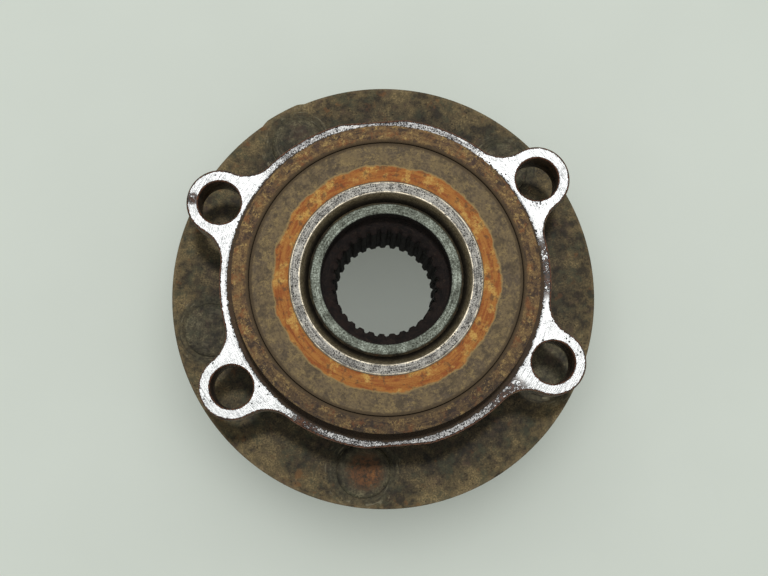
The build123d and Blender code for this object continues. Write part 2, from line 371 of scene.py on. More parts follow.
class Graph:
    """The nodes of one finish. Lengths in it are in millimetres of the piece's own space."""

    def __init__(self, name: str) -> None:
        """Starts an empty finish.

        Args:
            name: the material's name.
        """
        self.material = bpy.data.materials.new(name)
        self.material.use_nodes = True
        self.tree = self.material.node_tree
        self.tree.nodes.clear()
        self.shader = self.node("ShaderNodeBsdfPrincipled")
        self.node("ShaderNodeOutputMaterial", {0: self.shader.outputs[0]})
        own = self.node("ShaderNodeTexCoord").outputs["Object"]
        scaled = self.node("ShaderNodeVectorMath", {0: own, VECTOR_SCALE_INPUT: 1 / MM})
        scaled.operation = "SCALE"
        self.point = scaled.outputs[0]
        parts = self.node("ShaderNodeSeparateXYZ", {0: self.point}).outputs
        self.x, self.y, self.z = (Scalar(self, part) for part in parts)
        self.radius = self.math("SQRT", self.x * self.x + self.y * self.y)

    def node(self, kind: str, inputs: dict[int | str, Value | Tint] | None = None) -> bpy.types.Node:
        """Adds a node and links or sets its inputs.

        Args:
            kind: the type of node.
            inputs: another socket or a plain value for each input, by number or name.

        Returns:
            The node.
        """
        node = self.tree.nodes.new(kind)
        for key, value in (inputs or {}).items():
            self.feed(node.inputs[key], value)
        return node

    def feed(self, socket: Socket, value: Value | Tint) -> None:
        """Links a socket to another, or sets its plain value.

        Args:
            socket: the input.
            value: what feeds it.
        """
        if isinstance(value, Scalar):
            value = value.socket
        if isinstance(value, Socket):
            self.tree.links.new(value, socket)
        else:
            socket.default_value = linear(value) if socket.type == "RGBA" else value

    def math(self, operation: str, first: Value, second: Value = 0.0) -> Scalar:
        """One step of arithmetic on numbers.

        Args:
            operation: the step's name.
            first: its first number.
            second: its second number, if it has one.

        Returns:
            The result.
        """
        node = self.node("ShaderNodeMath", {0: first, 1: second})
        node.operation = operation
        return Scalar(self, node.outputs[0])

    def noise(
        self,
        size: float,
        detail: float = 4.0,
        rough: float = 0.55,
        vector: Socket | None = None,
        shift: float = 0.0,
    ) -> Scalar:
        """Cloudy noise.

        Args:
            size: how wide its blotches are, in millimetres.
            detail: how many finer clouds are laid over it.
            rough: how much they count.
            vector: what the clouds follow, if not the point itself.
            shift: another pattern, where it isn't 0.

        Returns:
            The noise, mostly from 0.3 to 0.7.
        """
        clouds = {"Scale": 1 / size, "Detail": detail, "Roughness": rough, NOISE_SHIFT_INPUT: shift}
        node = self.node("ShaderNodeTexNoise", {"Vector": vector or self.point, **clouds})
        node.noise_dimensions = "4D" if shift else "3D"
        return Scalar(self, node.outputs[0])

    def wander(
        self, size: float, amount: float, detail: float = 4.0, rough: float = 0.55, shift: float = 0.0
    ) -> Scalar:
        """Noise about 0 whose whole range is an amount, for making borders uneven."""
        return (self.noise(size, detail, rough, shift=shift) - 0.5) * amount

    def cells(self, size: float) -> Scalar:
        """The distance to the nearest of many scattered points, 0 at a point."""
        node = self.node("ShaderNodeTexVoronoi", {"Vector": self.point, "Scale": 1 / size})
        return Scalar(self, node.outputs["Distance"])

    def vector(self, *parts: Value) -> Socket:
        """A vector from its three parts."""
        return self.node("ShaderNodeCombineXYZ", dict(enumerate(parts))).outputs[0]

    def swept(self, around: float, across: float) -> Socket:
        """A vector for marks that follow a turned surface.

        Args:
            around: how many millimetres at unit radius the marks run round the axis.
            across: how fast they change with the radius.

        Returns:
            The vector (direction times around, radius times across).
        """
        ahead, aside = self.x / self.radius, self.y / self.radius
        return self.vector(ahead * around, aside * around, (self.radius + self.z) * across)

    def sector(self, degrees: float, half_width: float, soft: float = 4.0) -> Scalar:
        """Masks a sector about the axis.

        Args:
            degrees: the direction of its middle.
            half_width: how far it reaches to each side, in degrees.
            soft: how far its border spreads.

        Returns:
            1 in the sector.
        """
        ahead, aside = polar(1.0, math.radians(degrees))
        outside, inside = math.radians(half_width + soft), math.radians(max(0.0, half_width - soft))
        cosine = (self.x * ahead + self.y * aside) / self.radius
        return cosine.step(math.cos(outside), math.cos(inside))

    def edge_wear(self) -> Scalar:
        """Reads the edge wear that the mesh carries at its rims.

        Returns:
            The share of wear.
        """
        node = self.node("ShaderNodeAttribute")
        node.attribute_name = EDGE_WEAR
        return Scalar(self, node.outputs["Fac"])

    def away(self, x: float, y: float) -> Scalar:
        """The distance from an upright line at (x, y)."""
        across, up = self.x - x, self.y - y
        return self.math("SQRT", across * across + up * up)

    def near(self, x: float, y: float, reach: float, soft: float) -> Scalar:
        """1 within a distance of an upright line at (x, y)."""
        return self.away(x, y).step(reach + soft / 2, reach - soft / 2)

    def arcs(self, x: float, y: float, spacing: float, shift: float) -> Scalar:
        """Makes noise in broken arcs about an upright line.

        Args:
            x: where the line stands.
            y: where the line stands.
            spacing: how far apart the arcs are, in millimetres.
            shift: another pattern, where it isn't 0.

        Returns:
            The noise.
        """
        along = 0.14
        vector = self.vector((self.x - x) * along, (self.y - y) * along, self.away(x, y) / spacing)
        return self.noise(1.0, 3, 0.6, vector, shift)

    def tint(self, mask: Value, low: Tint, high: Tint) -> Socket:
        """Goes from one tint to another.

        Args:
            mask: how far it goes.
            low: the tint at 0.
            high: the tint at 1.

        Returns:
            The colour.
        """
        node = self.node("ShaderNodeMix", {0: mask, **dict(zip(MIX_TINT_INPUTS, (low, high)))})
        node.data_type = "RGBA"
        return node.outputs[MIX_TINT_OUTPUT]

    def painted(self, base: Tint, *coats: tuple[Value, Tint]) -> Socket:
        """Lays coats over a base tint.

        Args:
            base: the lowest tint.
            coats: each coat's mask and tint, in order.

        Returns:
            The colour.
        """
        for mask, coat in coats:
            base = self.tint(mask, base, coat)
        return base

    def level(self, mask: Value, low: Value, high: Value) -> Scalar:
        """A number that goes from one level to another with a mask."""
        node = self.node("ShaderNodeMix", {0: mask, **dict(zip(MIX_LEVEL_INPUTS, (low, high)))})
        return Scalar(self, node.outputs[0])


@dataclass
class Layer:
    """What one kind of surface looks like inside a finish: its colour, roughness, metal and relief."""

    colour: Tint
    roughness: Value
    metallic: Value
    relief: Value

    def over(self, mask: Scalar, top: "Layer") -> "Layer":
        """Lays another surface over this one.

        Args:
            mask: where the top surface shows.
            top: the surface laid over.

        Returns:
            The two together.
        """
        graph = mask.graph
        return Layer(
            graph.tint(mask, self.colour, top.colour),
            graph.level(mask, self.roughness, top.roughness),
            graph.level(mask, self.metallic, top.metallic),
            graph.level(mask, self.relief, top.relief),
        )

    def close(self, graph: Graph, depth: float = 0.0) -> bpy.types.Material:
        """Ends a finish with this surface.

        Args:
            graph: the finish being made.
            depth: the depth of its relief in millimetres, 0 for none.

        Returns:
            The material.
        """
        looks = {"Base Color": self.colour, "Roughness": self.roughness, "Metallic": self.metallic}
        if depth:
            relief = {"Strength": 1.0, "Distance": depth * MM, "Height": self.relief}
            looks["Normal"] = graph.node("ShaderNodeBump", relief).outputs[0]
        for name, value in looks.items():
            graph.feed(graph.shader.inputs[name], value)
        return graph.material


@dataclass(frozen=True)
class ForgingRust:
    """Old dull oxide on a forging: olive brown with tan dust, green and purple shades, pits and blooms."""

    dark: Colour = (46, 40, 30)
    middle: Colour = (80, 71, 53)
    dust: Colour = (122, 110, 84)
    bloom: Colour = (116, 76, 44)
    green: Colour = (68, 71, 52)
    purple: Colour = (86, 67, 54)
    bloom_share: float = 0.62

    def layer(self, graph: Graph) -> Layer:
        """Makes the oxide.

        Args:
            graph: the finish being made.

        Returns:
            The surface.
        """
        broad, middle, fine = graph.noise(12, 5), graph.noise(2.6, 6, 0.68), graph.noise(0.55, 4, 0.75)
        mottled = broad * 0.35 + middle * 0.45 + fine * 0.2
        shade = graph.noise(5.0, 6, 0.7, shift=11.0)
        blooms = graph.noise(4.5, 6, 0.65, shift=3.0).step(self.bloom_share, self.bloom_share + 0.1)
        pits = graph.cells(1.2).step(0.32, 0.12) * graph.noise(4, 2, shift=7.0).step(0.46, 0.58)
        colour = graph.painted(
            self.dark,
            (mottled.step(0.42, 0.51), self.middle),
            (shade.step(0.5, 0.62) * 0.5, self.green),
            (shade.step(0.46, 0.36) * 0.45, self.purple),
            (mottled.step(0.49, 0.6) * fine.step(0.42, 0.56), self.dust),
            (blooms * 0.7, self.bloom),
            (pits * 0.75, self.dark),
        )
        return Layer(colour, graph.level(middle, 0.68, 0.92), 0.12, middle * 0.6 + fine * 0.4 - pits * 0.35)


@dataclass(frozen=True)
class TurnedRust:
    """Brown and orange rust on a turned face: mottled, faintly streaked along the turning, tan grains."""

    dark: Colour = (60, 44, 30)
    middle: Colour = (102, 78, 49)
    pale: Colour = (134, 108, 68)
    bloom: Colour = (134, 82, 40)
    ochre: Colour = (172, 144, 88)
    purple: Colour = (74, 52, 44)

    def layer(self, graph: Graph) -> Layer:
        """Makes the rust.

        Args:
            graph: the finish being made.

        Returns:
            The surface.
        """
        streak = graph.noise(1.0, 4, 0.6, graph.swept(12.0, 1.4))
        blotch, fine = graph.noise(3.0, 6, 0.68), graph.noise(0.5, 4, 0.75)
        mixed = streak * 0.3 + blotch * 0.45 + fine * 0.25
        shade = graph.noise(4.0, 5, 0.65, shift=2.0)
        grains = graph.noise(2.0, 6, 0.75, shift=8.0).step(0.53, 0.6) * fine.step(0.44, 0.54)
        specks = graph.cells(0.8).step(0.34, 0.16) * blotch.step(0.5, 0.42)
        colour = graph.painted(
            self.dark,
            (mixed.step(0.43, 0.5), self.middle),
            (shade.step(0.52, 0.64) * 0.65, self.bloom),
            (shade.step(0.46, 0.36) * 0.5, self.purple),
            (mixed.step(0.49, 0.57) * fine.step(0.42, 0.54), self.pale),
            (grains * 0.8, self.ochre),
            (specks * 0.6, self.dark),
        )
        return Layer(colour, graph.level(blotch, 0.62, 0.92), 0.15, mixed * 0.6 + fine * 0.4)


@dataclass(frozen=True)
class BrightOrangeRust:
    """Fresh orange rust that runs along the turning, with yellow, red-brown and brown patches."""

    middle: Colour = (164, 108, 48)
    yellow: Colour = (190, 150, 78)
    red: Colour = (138, 74, 30)
    brown: Colour = (88, 62, 38)

    def layer(self, graph: Graph) -> Layer:
        """Makes the rust.

        Args:
            graph: the finish being made.

        Returns:
            The surface.
        """
        streak, fine = graph.noise(1.0, 5, 0.65, graph.swept(5.0, 1.1)), graph.noise(0.45, 4, 0.7)
        yellows = graph.noise(3.6, 4, 0.6, shift=1.0).step(0.5, 0.64) * fine.step(0.3, 0.56)
        stains = graph.noise(2.4, 6, 0.7, shift=5.0).step(0.52, 0.62)
        colour = graph.painted(
            self.red,
            ((streak * 0.7 + fine * 0.3).step(0.4, 0.58), self.middle),
            (yellows, self.yellow),
            (stains * 0.7, self.brown),
        )
        return Layer(colour, 0.86, 0.0, streak * 0.4 + fine * 0.6)


@dataclass(frozen=True)
class MachinedSteel:
    """A milled or turned face that stays bright, with fine tool lines, grain and scattered pits."""

    bright: Colour = (150, 151, 150)
    grey: Colour = (113, 114, 114)
    pit: Colour = (52, 42, 38)
    grain: float = 0.4
    lines: float = 5.0
    pit_size: float = 0.9
    pit_radius: float = 0.34
    pit_free: float = 0.6
    roughness: float = 0.36

    def layer(self, graph: Graph, soiling: Value = 0.0) -> Layer:
        """The steel as a surface.

        Args:
            graph: the finish being made.
            soiling: where more pits and grey stain gather, 0 to 1.

        Returns:
            The surface.
        """
        grain, cloud = graph.noise(self.grain, 4, 0.7), graph.noise(2.6, 5, 0.6, shift=4.0)
        tool_lines = graph.noise(1.0, 3, 0.6, graph.swept(3.0, self.lines))
        tone = grain * 0.4 + tool_lines * 0.3 + cloud * 0.3 + soiling * 0.08
        gate = graph.noise(self.pit_size * 3, 3, shift=6.0) + soiling * 0.3
        pits = graph.cells(self.pit_size).step(self.pit_radius, self.pit_radius * 0.5)
        pits = pits * gate.step(self.pit_free, self.pit_free + 0.08) * grain.step(0.34, 0.5)
        colour = graph.painted(self.bright, (tone.step(0.42, 0.6), self.grey), (pits * 0.85, self.pit))
        relief = tool_lines * 0.12 + grain * 0.14 - pits * 0.45
        rough = graph.level(pits, self.roughness, 0.8) + tone.step(0.5, 0.7) * 0.15
        return Layer(colour, rough, graph.level(pits, 1.0, 0.3), relief)


@dataclass(frozen=True)
class StainedSteel:
    """Stained steel under fine grain and scratches, part bright and part dull."""

    base: Colour = (106, 111, 100)
    dark: Colour = (58, 60, 51)
    pale: Colour = (168, 176, 164)
    grain: float = 0.5
    metallic: float = 0.6
    roughness: float = 0.42

    def layer(self, graph: Graph) -> Layer:
        """Makes the steel.

        Args:
            graph: the finish being made.

        Returns:
            The surface.
        """
        cloud, fine = graph.noise(3.4, 5, 0.6), graph.noise(self.grain, 4, 0.75)
        lines = graph.noise(1.0, 3, 0.6, graph.swept(4.0, 4.5))
        mixed = fine * 0.5 + lines * 0.25 + cloud * 0.25
        dull, bare = mixed.step(0.42, 0.49), mixed.step(0.5, 0.58)
        colour = graph.painted(self.dark, (dull, self.base), (bare, self.pale))
        rough = graph.level(fine, self.roughness, self.roughness + 0.25)
        return Layer(colour, rough, self.metallic, lines * 0.4 + fine * 0.6)


@dataclass(frozen=True)
class SmoothDull:
    """A moulded or pressed surface under an even film of dust, marked along one direction."""

    base: Colour
    dusty: Colour
    around: float = 12.0
    across: float = 0.4
    roughness: float = 0.6
    metallic: float = 0.0
    relief_depth: float = 0.05

    def layer(self, graph: Graph) -> Layer:
        """Makes the film.

        Args:
            graph: the finish being made.

        Returns:
            The surface.
        """
        marks = graph.noise(1.0, 4, 0.65, graph.swept(self.around, self.across))
        cloud, fine = graph.noise(6.0, 4, 0.6), graph.noise(0.5, 2, 0.6)
        colour = graph.tint((marks * 0.55 + cloud * 0.45).step(0.4, 0.6), self.base, self.dusty)
        rough = graph.level(cloud, self.roughness, self.roughness + 0.2)
        return Layer(colour, rough, self.metallic, marks * 0.6 + fine * 0.4)

    def material(self, name: str) -> bpy.types.Material:
        """The film as a whole finish."""
        graph = Graph(name)
        return self.layer(graph).close(graph, self.relief_depth)


BALL_STEEL = SmoothDull((196, 198, 202), (150, 150, 152), 9.0, 2.0, 0.12, 1.0, 0.004)
CAGE_PLASTIC = SmoothDull((186, 172, 138), (142, 124, 88), 10.0, 1.5, 0.5, 0.0, 0.04)
SEAL_SHEET = SmoothDull((46, 39, 32), (78, 67, 54), 16.0, 1.2, 0.6, 0.3, 0.03)
SEAL_RUBBER = SmoothDull((26, 25, 24), (54, 50, 45), 10.0, 1.0, 0.55, 0.0, 0.05)
ENCODER_FILM = SmoothDull((74, 59, 38), (110, 92, 60), 40.0, 1.6)
RING_FORGING = ForgingRust((46, 37, 29), (88, 73, 56), (130, 111, 85), bloom_share=0.58)
# Flange oxides: the inner one is darkened as painted shade under the outer ring, the outer one is paler as
# painted light, and the rim one is lighter as a painted highlight.
INNER_FLANGE_OXIDE_AND_SHADE = ForgingRust((34, 29, 20), (66, 57, 40), (112, 98, 69), (92, 64, 38), bloom_share=0.6)
OUTER_FLANGE_OXIDE_AND_LIGHT = ForgingRust((52, 44, 29), (96, 83, 56), (142, 123, 84), (118, 82, 46), bloom_share=0.56)
FLANGE_RIM_WEAR_AND_HIGHLIGHT = ForgingRust((84, 70, 48), (112, 96, 68), (142, 126, 92))
STUD_HEAD = ForgingRust((42, 38, 28), (72, 66, 49), (118, 110, 84), bloom_share=0.7)
# Darker rust, laid on the pilot and end face towards -y.
DARKER_RUST = TurnedRust((40, 29, 20), (70, 55, 37), (100, 80, 52), (104, 62, 32), (138, 114, 72), (56, 40, 34))
# Rust for the splined bore, darkened with painted shade.
BORE_RUST_AND_SHADE = TurnedRust((15, 11, 9), (29, 20, 18), (42, 32, 27), (46, 29, 22), (58, 45, 36), (26, 17, 17))
SPECKLED_ARC = MachinedSteel((136, 136, 134), (62, 60, 60), (32, 26, 26), 0.3, 3.0, 0.5, 0.42, 0.46, 0.42)
PITTED_LAND = MachinedSteel((112, 110, 104), (60, 59, 57), (38, 34, 30), 0.3, 4.0, 0.5, 0.38, 0.54, 0.44)
# Brighter steel for the land's edges, partly cleaner wear and partly a painted highlight along their bevels.
CLEAN_BORDER_AND_HIGHLIGHT = MachinedSteel((166, 157, 138), (124, 116, 100), (70, 62, 52), 0.4, 4.0, 1.0, 0.25, 0.6, 0.44)
WORN_WHEEL_FACE = MachinedSteel((168, 158, 140), (112, 100, 82), (62, 50, 38), 0.5, 4.0, 1.3, 0.35, 0.5, 0.45)
OILY_MOUTH = StainedSteel((156, 141, 112), (122, 108, 82), (188, 172, 140), 0.8, 0.8, 0.36)
# Dark steel for deep in the inner ring's mouth, painted shade.
SHADED_MOUTH = StainedSteel((44, 39, 31), (36, 32, 25), (56, 50, 40), 0.8, 0.6, 0.45)
DARK_THREAD = StainedSteel((104, 96, 84), (56, 48, 39), (150, 142, 128), 0.6, 0.7, 0.4)


def dress(piece: bpy.types.Object, material: bpy.types.Material) -> None:
    """Gives a piece or a carried-over node one finish."""
    piece.data.materials.clear()
    piece.data.materials.append(material)


# ---------------------------------------------------------------- sub-assemblies


class Body(Enum):
    """The rigid bodies of the frame that made pieces ride on."""

    OUTER_RING = "outer_ring"
    HUB = "hub"


def span(node: str) -> Flat:
    """The lowest and highest height of a node of the frame, in millimetres."""
    low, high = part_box(node)
    return low.z / MM, high.z / MM


def place(piece: bpy.types.Object, material: bpy.types.Material, body: Body, slot: str, *nodes: str) -> None:
    """Dresses a piece and seats it on its body in the place of the frame's nodes.

    Args:
        piece: the finished object.
        material: its finish.
        body: what it rides on.
        slot: the record's material slot; not used.
        nodes: the nodes it stands for.
    """
    dress(piece, material)
    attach(piece, body.value)
    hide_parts(*nodes)
    log.info("%s: %d faces, rides on %s", piece.name, len(piece.data.polygons), body.value)


@dataclass
class BallRows:
    """Both rows of balls with their cages, which stay as the frame has them."""

    circle_radius: float = 33.4
    groove_radius: float = 6.08
    outboard_height: float = field(default_factory=lambda: sum(span("outboard_ball_01")) / 2)
    inboard_height: float = field(default_factory=lambda: sum(span("inboard_ball_01")) / 2)

    def groove(self, row_height: float, start: float, end: float) -> list[Corner]:
        """The ground groove of one row as profile corners.

        Args:
            row_height: the height of the ball centres.
            start: the angle of the first point, in degrees from the outward radius.
            end: the angle of the last point.

        Returns:
            The groove's corners, without blends.
        """
        degrees = [start + (end - start) * step / GROOVE_STEPS for step in range(GROOVE_STEPS + 1)]
        points = [polar(self.groove_radius, math.radians(angle)) for angle in degrees]
        return [Corner(self.circle_radius + out, row_height + up, 0.0) for out, up in points]

    def build(self) -> None:
        """Dresses the balls as polished steel and the cages as moulded plastic."""
        polished = BALL_STEEL.material("polished_ball_steel")
        moulded = CAGE_PLASTIC.material("moulded_cage_plastic")
        for name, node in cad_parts.items():
            if "_ball_" in name:
                dress(node, polished)
            elif name.endswith("_cage"):
                dress(node, moulded)
        log.info("ball rows at %.1f and %.1f mm", self.outboard_height, self.inboard_height)


@dataclass
class OuterRing:
    """The forged outer ring with its four ears, and the seal parts pressed into it."""

    rows: BallRows
    foot: float = field(default_factory=lambda: span("outer_ring")[0])
    top: float = field(default_factory=lambda: span("outer_ring")[1])
    pilot_radius: float = 44.5
    pilot_length: float = 11.3
    pilot_bevel: float = 0.4
    contact_radius: float = 46.8
    disc_radius: float = 49.5
    seal_bore_radius: float = 39.6
    seal_floor: float = 5.6
    lip_radius: float = 39.2
    barrel_radius: float = 45.5
    flare_radius: float = 47.6
    flare_height: float = 4.0
    plate_thickness: float = 15.0
    contour_radius: float = 49.1
    flat_distance: float = 48.2
    bolt_circle_radius: float = 54.65
    ear_degrees: float = 30.0
    ear_radius: float = 9.8
    blend_radius: float = 10.0
    hole_radius: float = 6.4
    hole_edge: float = 0.15
    hole_rim: float = 0.5
    hole_segments: int = 72
    edge: float = 0.6
    seam_width: float = 1.2
    seam_rise: float = 0.25
    hollow_depth: float = 0.16
    hollow_grain: float = 5.0
    hollow_seed: int = 3
    segments: int = 288

    @property
    def mount_face(self) -> float:
        """The height of the machined face that meets the knuckle."""
        return self.top - self.pilot_length

    def ear_centres(self) -> list[Flat]:
        """The four bolt centres, in order round the axis."""
        angles = [self.ear_degrees, 180 - self.ear_degrees, 180 + self.ear_degrees, 360 - self.ear_degrees]
        return [polar(self.bolt_circle_radius, math.radians(angle)) for angle in angles]

    def contour(self) -> list[Vector]:
        """Draws the plate: its disc, flats, ears and concave blends.

        Returns:
            The closed outline, anticlockwise.
        """
        to_ear, to_blend = self.bolt_circle_radius, self.contour_radius + self.blend_radius
        between = self.ear_radius + self.blend_radius
        beside = math.acos((to_ear**2 + to_blend**2 - between**2) / (2 * to_ear * to_blend))
        outline: list[Vector] = []

        def arc(centre: Vector, radius: float, start: float, end: float) -> None:
            """Adds an arc to the outline.

            Args:
                centre: its middle.
                radius: its radius.
                start: its first angle, in radians.
                end: its last angle.
            """
            steps = max(2, math.ceil(abs(end - start) * radius / OUTLINE_SPACING))
            for step in range(steps):
                outline.append(centre + Vector(polar(1.0, start + (end - start) * step / steps)) * radius)

        def heading(vector: Vector) -> float:
            """The direction of a vector, in radians."""
            return math.atan2(vector.y, vector.x)

        origin = Vector((0.0, 0.0))
        ears = [Vector(centre) for centre in self.ear_centres()]
        for index, ear in enumerate(ears):
            ahead = heading(ear)
            first = origin + Vector(polar(1.0, ahead - beside)) * to_blend
            last = origin + Vector(polar(1.0, ahead + beside)) * to_blend
            into, out = first - ear, last - ear
            start, back, leaving = heading(into), heading(-first), heading(-out)
            swing = (heading(-into) - back + math.pi) % FULL_TURN - math.pi
            arc(first, self.blend_radius, back, back + swing)
            arc(ear, self.ear_radius, start, start + (heading(out) - start) % FULL_TURN)
            arc(last, self.blend_radius, leaving, leaving + swing)
            following = ahead + (heading(ears[(index + 1) % len(ears)]) - ahead) % FULL_TURN
            arc(origin, self.contour_radius, ahead + beside, following - beside)
        for point in outline:
            point.y = max(-self.flat_distance, min(self.flat_distance, point.y))
        return outline

    def plate(self, draft: Draft) -> None:
        """Adds the eared plate with its rounded rims, a forging seam and four bolt holes.

        Args:
            draft: the ring being made.
        """
        outline = self.contour()
        outward = []
        for index in range(len(outline)):
            along = (outline[(index + 1) % len(outline)] - outline[index - 1]).normalized()
            outward.append(Vector((along.y, -along.x)))
        face, edge = self.mount_face, self.edge
        back = face - self.plate_thickness
        middle = (back + face) / 2
        levels = [
            (edge, back, 0.0),
            (edge * 0.3, back + edge * 0.3, 0.0),
            (0.0, back + edge, 0.0),
            (0.0, middle - self.seam_width, 0.0),
            (-self.seam_rise, middle, 0.0),
            (0.0, middle + self.seam_width, 0.0),
            (0.0, face - edge, 1.0),
            (edge * 0.2, face - edge * 0.4, 1.0),
            (edge * 0.6, face, 0.75),
            (edge * 0.6 + 0.4, face, 0.3),
            (edge * 0.6 + 1.0, face, 0.0),
        ]
        sides = []
        for inset, height, wear in levels:
            points = [(p.x - n.x * inset, p.y - n.y * inset, height) for p, n in zip(outline, outward)]
            sides.append(draft.loop(points, wear))
        draft.skin(sides)
        hole, mouth = self.hole_radius, self.hole_radius + self.hole_edge
        wall = [(hole + edge, back), (hole, back + edge), (hole, middle)]
        wall += [(hole, face - self.hole_edge), (mouth, face)]
        lower_holes, upper_holes = [], []
        for centre in self.ear_centres():
            loops = draft.turn(wall, self.hole_segments, centre=centre, closed=False, wear=1.0)
            rim = draft.turn([(mouth + self.hole_rim, face)], self.hole_segments, centre=centre, closed=False)
            draft.skin([loops[-1], rim[0]])
            lower_holes.append(loops[0])
            upper_holes.append(rim[0])
        inner = self.pilot_radius - 1.0
        core = draft.turn([(inner, back), (inner, face)], self.segments, closed=False)
        draft.fill([sides[0], core[0], *lower_holes], back)
        draft.fill([sides[-1], core[-1], *upper_holes], face)

    def ring(self, draft: Draft) -> None:
        """Adds the turned barrel, pilot, end face, seal bores and raceways.

        Args:
            draft: the ring being made.
        """
        back = self.mount_face - self.plate_thickness
        inboard, outboard = self.rows.inboard_height, self.rows.outboard_height
        corners = [
            Corner(self.seal_bore_radius, self.foot),
            Corner(self.barrel_radius, self.foot, 1.2),
            Corner(self.barrel_radius, back - self.flare_height, 3.0),
            Corner(self.flare_radius, back, 0.2),
            Corner(self.flare_radius, back + 1.0, 0.2),
            Corner(self.pilot_radius, self.mount_face - 1.0, 0.2),
            Corner(self.pilot_radius, self.top, self.pilot_bevel),
            Corner(self.seal_bore_radius, self.top, 1.0),
            Corner(self.seal_bore_radius, inboard + self.seal_floor, 0.2),
            Corner(self.lip_radius, inboard + self.seal_floor, 0.1),
            *self.rows.groove(inboard, 17.0, -64.0),
            *self.rows.groove(outboard, 64.0, -17.0),
            Corner(self.lip_radius, outboard - self.seal_floor, 0.1),
            Corner(self.seal_bore_radius, outboard - self.seal_floor, 0.2),
        ]
        draft.turn(rounded(corners), self.segments)

    def turned(self, graph: Graph) -> Layer:
        """Brown rust on the pilot and end face, darker towards the low side (-y)."""
        low_side = (graph.y + graph.noise(9, 4) * 20.0).step(4.0, -26.0)
        return TurnedRust().layer(graph).over(low_side * 0.75, DARKER_RUST.layer(graph))

    def machined(self, graph: Graph) -> Layer:
        """Makes the bright mount face, with speckled thin arcs, stains and worn rusty rims.

        Args:
            graph: the finish being made.

        Returns:
            The surface.
        """
        thin = graph.radius.step(self.disc_radius + 1.0, self.disc_radius)
        root = graph.radius.step(self.contact_radius + 0.9, self.contact_radius + 0.1)
        arcs = graph.math("ABSOLUTE", graph.y).step(33.0, 41.0) * thin
        face = MachinedSteel().layer(graph, root * 0.9).over(arcs * 0.9, SPECKLED_ARC.layer(graph, 0.3))
        crust = graph.tint(graph.noise(0.8, 5, 0.7).step(0.4, 0.6), (40, 26, 18), (104, 66, 42))
        oxide = Layer(crust, 0.9, 0.0, 0.4)
        left_x, left_y = self.ear_centres()[1]
        stains = (
            graph.sector(1, 9, 3) * thin * 0.8
            | graph.sector(236, 3, 4)
            | graph.sector(312, 5, 4) * 0.9
            | graph.near(left_x - 7.8, left_y + 1.8, 1.5, 1.4)
        )
        stained = stains * graph.noise(1.0, 5, 0.75, shift=12.0).step(0.45, 0.51)
        worn = (graph.edge_wear() + graph.wander(0.9, 1.3, 5, 0.75, 9.0)).step(0.48, 0.66)
        return face.over(stained * 0.9, oxide).over(worn, oxide)

    def grime_and_painted_light(self, surface: Layer, graph: Graph) -> Layer:
        """Lays rust darkened with painted shade in the pilot's root, painted light on the seal's gap, painted
        shade on the bore's edge, and grime in the ear holes.

        Args:
            surface: what lies under it.
            graph: the finish being made.

        Returns:
            The surface with its grime, painted light and painted shade.
        """
        face, bore, radius, z = self.mount_face, self.seal_bore_radius, graph.radius, graph.z
        above, below = z.step(face + 3.0, face + 0.6), z.step(face - 0.6, face - 0.2)
        # Rust in the pilot's root, darkened with painted shade of the corner.
        in_root = radius.step(self.contact_radius + 0.6, self.contact_radius - 0.2) * above * below
        root_rust_and_shade = graph.tint(graph.noise(0.8, 5, 0.7), (30, 24, 20), (78, 62, 46))
        surface = surface.over(in_root * 0.85, Layer(root_rust_and_shade, 0.85, 0.1, graph.noise(0.8, 5, 0.7)))
        # Painted light: pale brown on the seal bore's walls just below the end face, lifting their shade.
        painted_light_gap = radius.step(bore + 0.8, bore + 0.2) * z.step(self.top - 2.0, self.top - 1.6)
        surface = surface.over(painted_light_gap * 0.85, Layer((112, 90, 62), 0.9, 0.0, 0.5))
        # Painted shade: dark brown on the end face round the seal bore's edge.
        uneven = radius + graph.wander(1.4, 1.6, 5, 0.7)
        shaded_bore_edge = uneven.step(bore + 1.3, bore + 0.5) * z.step(self.top - 1.6, self.top - 1.4)
        bore_edge_shade = graph.tint(graph.noise(0.8, 4), (40, 32, 22), (84, 68, 46))
        surface = surface.over(shaded_bore_edge * 0.8, Layer(bore_edge_shade, 0.9, 0.0, 0.3))
        on_disc = radius.step(self.disc_radius, self.disc_radius - 0.5)
        mouths = graph.edge_wear() * z.step(face - 1.6, face - 0.6) * on_disc
        for centre in self.ear_centres():
            wall = graph.near(*centre, self.hole_radius + 0.3, 0.2) * z.step(face - 1.8, face - 0.4)
            mouths = mouths | wall
        grains = graph.noise(0.8, 5, 0.7, shift=14.0).step(0.42, 0.58)
        crumbs = Layer(graph.tint(grains, (62, 38, 30), (140, 92, 68)), 0.9, 0.0, 0.5)
        return surface.over(mouths * 0.9, crumbs)

    def finish(self) -> bpy.types.Material:
        """Dresses a bright mount face, brown rusted end and pilot, and dark forged barrel and ears.

        Returns:
            The material.
        """
        graph = Graph("outer_ring_forging")
        face, z = self.mount_face, graph.z
        surface = RING_FORGING.layer(graph).over(z.step(face - 0.1, face), self.turned(graph))
        flat = z.step(face - 0.22, face - 0.08) * z.step(face + 0.2, face + 0.1)
        uneven = graph.radius + graph.wander(0.9, 2.0, 5, 0.75)
        on_face = flat * uneven.step(self.contact_radius - 0.1, self.contact_radius + 0.15)
        return self.grime_and_painted_light(surface, graph).over(on_face, self.machined(graph)).close(graph, 0.28)

    def forged(self, point: Vector) -> bool:
        """Whether a point in millimetres lies on the ring's forged skin."""
        return point.z < self.mount_face - 0.8 and math.hypot(point.x, point.y) > self.barrel_radius - 0.5

